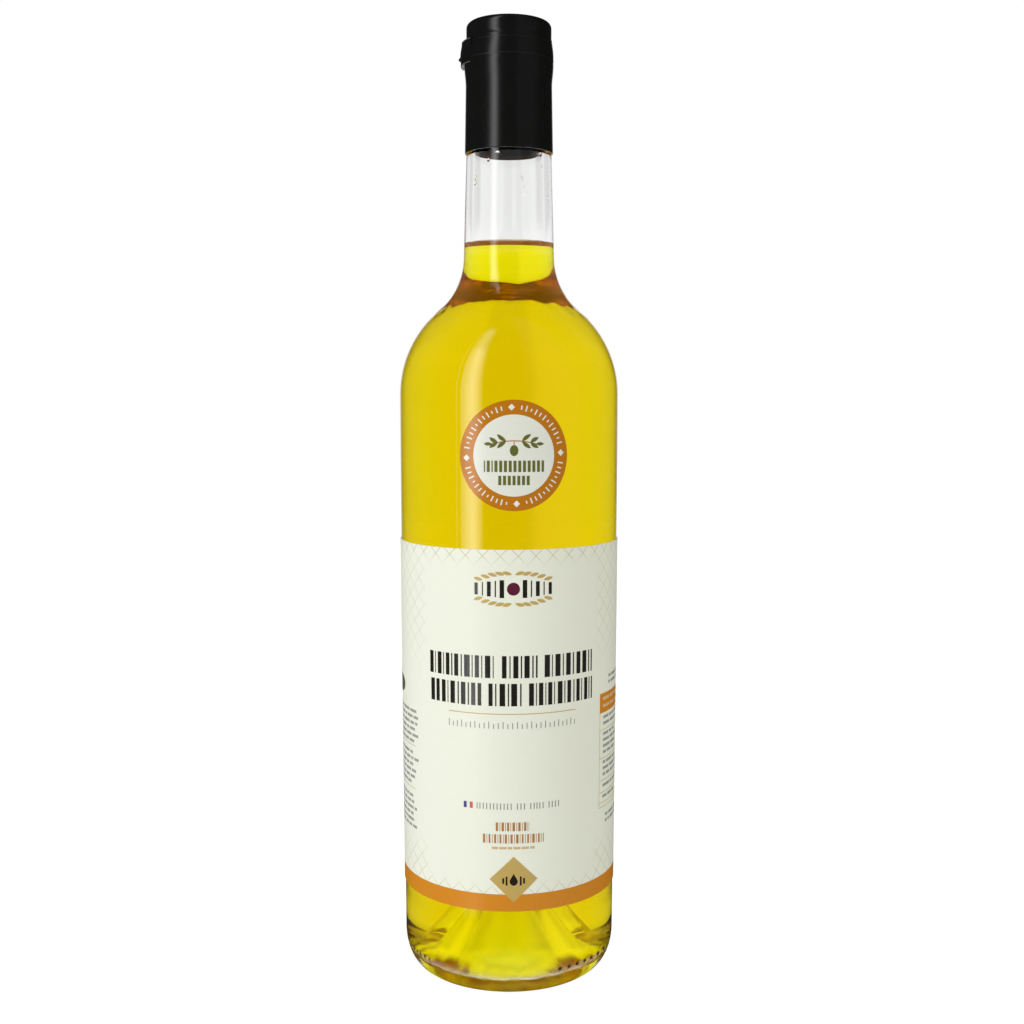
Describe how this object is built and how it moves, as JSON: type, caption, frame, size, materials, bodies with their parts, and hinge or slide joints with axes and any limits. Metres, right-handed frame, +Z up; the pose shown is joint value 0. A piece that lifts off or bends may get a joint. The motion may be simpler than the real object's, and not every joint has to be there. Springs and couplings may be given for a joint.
{
  "type": "olive oil bottle",
  "caption": "Full clear round glass bottle of golden olive oil, with a punted base, a black capsule over the mouth, a wrap-round paper label and a round paper seal.",
  "frame": {"origin": "middle of the bottle's foot, on the plane that it stands on", "axes": "+Z up along the bottle's axis, the label's front faces -Y, +X to the right seen from the front"},
  "size_m": [0.076, 0.0754, 0.3228],
  "materials": {
    "glass": "clear, polished",
    "oil": "clear golden liquid",
    "capsule": "satin black",
    "label_paper": "uncoated, printed",
    "seal_paper": "coated, printed"
  },
  "bodies": {
    "root": {"bottle_glass": "glass", "olive_oil": "oil", "capsule": "capsule", "label": "label_paper", "seal": "seal_paper"}
  },
  "joints": []
}
